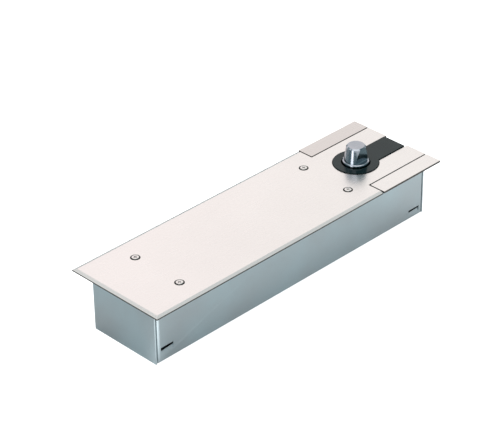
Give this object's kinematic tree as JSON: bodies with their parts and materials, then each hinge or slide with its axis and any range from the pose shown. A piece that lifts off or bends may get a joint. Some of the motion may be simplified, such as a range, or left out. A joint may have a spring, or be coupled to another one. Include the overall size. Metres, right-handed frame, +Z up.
{
  "type": "floor spring door closer",
  "caption": "Floor spring door closer: conical flatted spindle on a heart cam, sprung oil cylinder in a plated cement box under a bevelled stainless cover.",
  "frame": {"origin": "on the spindle's axis, level with the top of the cover plate and the finished floor", "axes": "+X along the box towards the end by the spindle, +Y across the box, +Z up along the spindle"},
  "size_m": [0.3575, 0.1076, 0.0786],
  "materials": {
    "satin_stainless": "fine lengthwise brushed grain, satin",
    "black_plastic": "fine moulded texture, matte",
    "zinc_sheet": "blue-bright zinc plate, soft sheen",
    "cover_screw_steel": "turned, bright",
    "plated_forging": "bright zinc plate on a turned and milled forging",
    "cast_housing": "sand cast, machined faces",
    "plain_steel": "machined, oiled",
    "plated_fasteners": "zinc plated",
    "bearing_steel": "ground and polished",
    "cage_brass": "turned",
    "spring_steel": "oil tempered and shot peened",
    "seal_rubber": "moulded"
  },
  "bodies": {
    "floor_box": {"box_trough": "zinc_sheet", "box_end_near": "zinc_sheet", "box_end_far": "zinc_sheet", "cover_brackets": "zinc_sheet", "cover_plate": "satin_stainless", "filler_strip_back": "satin_stainless", "filler_strip_front": "satin_stainless", "spindle_surround": "black_plastic", "cover_screws": "cover_screw_steel", "closer_housing": "cast_housing", "bearing_cover": "cast_housing", "cover_gasket": "seal_rubber", "bearing_cover_screws": "plated_fasteners", "oil_filler_plug": "plated_fasteners", "filler_seal": "cage_brass", "housing_screws": "plated_fasteners", "weld_nuts": "plated_fasteners", "levelling_screws": "plated_fasteners", "lower_thrust_race": "bearing_steel", "upper_bearing_ring": "bearing_steel", "shaft_seal": "seal_rubber", "rod_guide": "plain_steel", "rod_seal": "seal_rubber", "guide_ring": "bearing_steel", "far_end_cap": "plain_steel", "cap_o_ring": "seal_rubber", "outer_spring": "spring_steel", "inner_spring": "spring_steel"},
    "spindle": {"camshaft": "plated_forging", "upper_thrust_race": "bearing_steel"},
    "thrust_set": {"thrust_balls": "bearing_steel", "thrust_cage": "cage_brass"},
    "needle_set": {"bearing_needles": "bearing_steel", "needle_cage": "cage_brass"},
    "carriage": {"carriage_plate_upper": "plain_steel", "carriage_plate_lower": "plain_steel", "carriage_spacer": "plain_steel", "roller_pins": "bearing_steel", "carriage_rivets": "bearing_steel", "piston_rod": "bearing_steel", "piston": "plain_steel", "piston_ring": "seal_rubber", "piston_nut": "plated_fasteners", "check_retainer": "bearing_steel"},
    "main_roller": {"main_roller": "bearing_steel"},
    "counter_roller": {"counter_roller": "bearing_steel"},
    "check_ball": {"check_ball": "bearing_steel"},
    "force_adjuster": {"force_adjuster": "plated_fasteners"},
    "spring_seat": {"spring_seat": "plain_steel"},
    "closing_valve_ring": {"closing_valve_o_ring": "seal_rubber"},
    "closing_valve": {"closing_speed_valve": "cage_brass"},
    "latching_valve_ring": {"latching_valve_o_ring": "seal_rubber"},
    "latching_valve": {"latching_speed_valve": "cage_brass"}
  },
  "joints": [
    {"name": "spindle_turn", "type": "hinge", "parent": "floor_box", "child": "spindle", "pos_m": [0, 0, 0], "axis": [0, 0, 1], "range_deg": [0, 130], "stiffness_Nm_per_rad": 1.9, "springref_deg": -5.73},
    {"name": "thrust_set_turn", "type": "hinge", "parent": "floor_box", "child": "thrust_set", "pos_m": [0, 0, -0.0475], "axis": [0, 0, 1], "range_deg": [0, 65]},
    {"name": "needle_set_turn", "type": "hinge", "parent": "floor_box", "child": "needle_set", "pos_m": [0, 0, -0.015], "axis": [0, 0, 1], "range_deg": [0, 60]},
    {"name": "carriage_slide", "type": "slide", "parent": "floor_box", "child": "carriage", "axis": [-1, 0, 0], "range_m": [0, 0.011], "deforming": ["outer_spring", "inner_spring"]},
    {"name": "main_roller_spin", "type": "hinge", "parent": "carriage", "child": "main_roller", "pos_m": [-0.016, 0, -0.033], "axis": [0, 0, 1], "continuous": true},
    {"name": "counter_roller_spin", "type": "hinge", "parent": "carriage", "child": "counter_roller", "pos_m": [0.03123, 0, -0.033], "axis": [0, 0, 1], "continuous": true},
    {"name": "check_ball_lift", "type": "slide", "parent": "carriage", "child": "check_ball", "axis": [1, 0, 0], "range_m": [0, 0.0012]},
    {"name": "force_adjuster_turn", "type": "hinge", "parent": "floor_box", "child": "force_adjuster", "pos_m": [-0.26, 0, -0.033], "axis": [1, 0, 0], "range_deg": [0, 2304]},
    {"name": "spring_seat_slide", "type": "slide", "parent": "floor_box", "child": "spring_seat", "axis": [-1, 0, 0], "range_m": [0, 0.008], "deforming": ["outer_spring", "inner_spring"]},
    {"name": "closing_valve_lift", "type": "slide", "parent": "floor_box", "child": "closing_valve_ring", "axis": [0, 0, 1], "range_m": [0, 0.0015]},
    {"name": "closing_valve_turn", "type": "hinge", "parent": "closing_valve_ring", "child": "closing_valve", "pos_m": [-0.078, 0.01, -0.012], "axis": [0, 0, 1], "range_deg": [0, 540]},
    {"name": "latching_valve_lift", "type": "slide", "parent": "floor_box", "child": "latching_valve_ring", "axis": [0, 0, 1], "range_m": [0, 0.0015]},
    {"name": "latching_valve_turn", "type": "hinge", "parent": "latching_valve_ring", "child": "latching_valve", "pos_m": [-0.078, -0.01, -0.012], "axis": [0, 0, 1], "range_deg": [0, 540]}
  ],
  "couplings": [
    {"joint": "thrust_set_turn", "follows": "spindle_turn", "ratio": 0.5},
    {"joint": "needle_set_turn", "follows": "spindle_turn", "ratio": 0.4539},
    {"joint": "carriage_slide", "follows": "spindle_turn", "m_per_rad": 0.004848},
    {"joint": "force_adjuster_turn", "follows": "spring_seat_slide", "rad_per_m": 5026.5},
    {"joint": "closing_valve_turn", "follows": "closing_valve_lift", "rad_per_m": 6283.1},
    {"joint": "latching_valve_turn", "follows": "latching_valve_lift", "rad_per_m": 6283.1}
  ]
}
